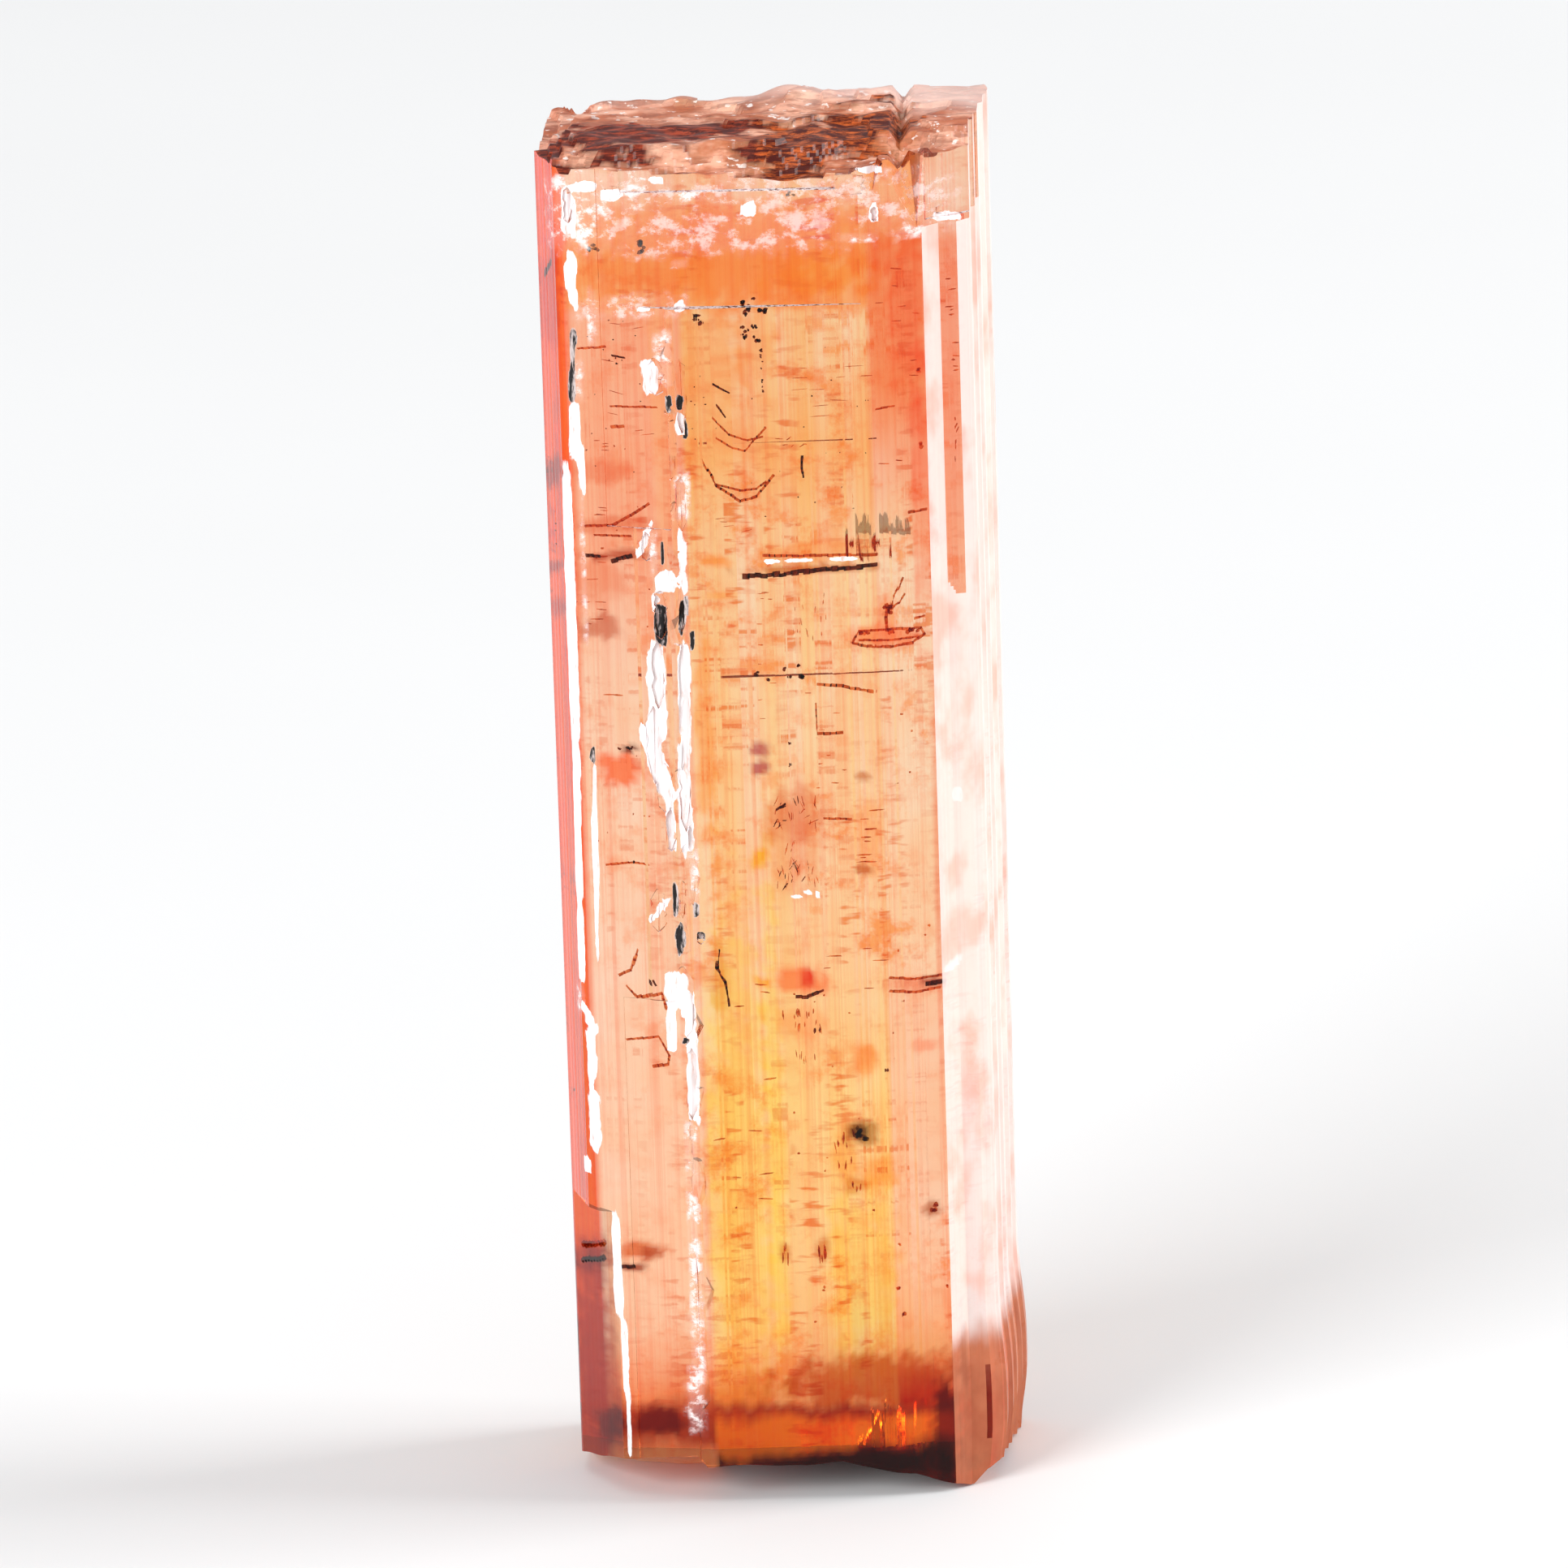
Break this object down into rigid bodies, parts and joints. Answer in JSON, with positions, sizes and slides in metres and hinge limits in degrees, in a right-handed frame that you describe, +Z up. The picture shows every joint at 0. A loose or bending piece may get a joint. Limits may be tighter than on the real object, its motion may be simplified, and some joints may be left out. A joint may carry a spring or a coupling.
{
  "type": "topaz crystal",
  "caption": "Natural topaz crystal: an upright, clear, peach to orange striated prism, rough across its broken top and standing on its cleaved base",
  "frame": {"origin": "On the resting plane, under the middle of the crystal's box", "axes": "+Z up along the crystal's long axis; the broad front face, the one in the picture, looks along -Y; +X is to the right of someone who looks at it"},
  "size_m": [0.015, 0.0085, 0.0464],
  "materials": {
    "topaz": "natural striated crystal faces, clear to slightly milky"
  },
  "bodies": {
    "root": {"topaz_crystal": "topaz"}
  },
  "joints": []
}
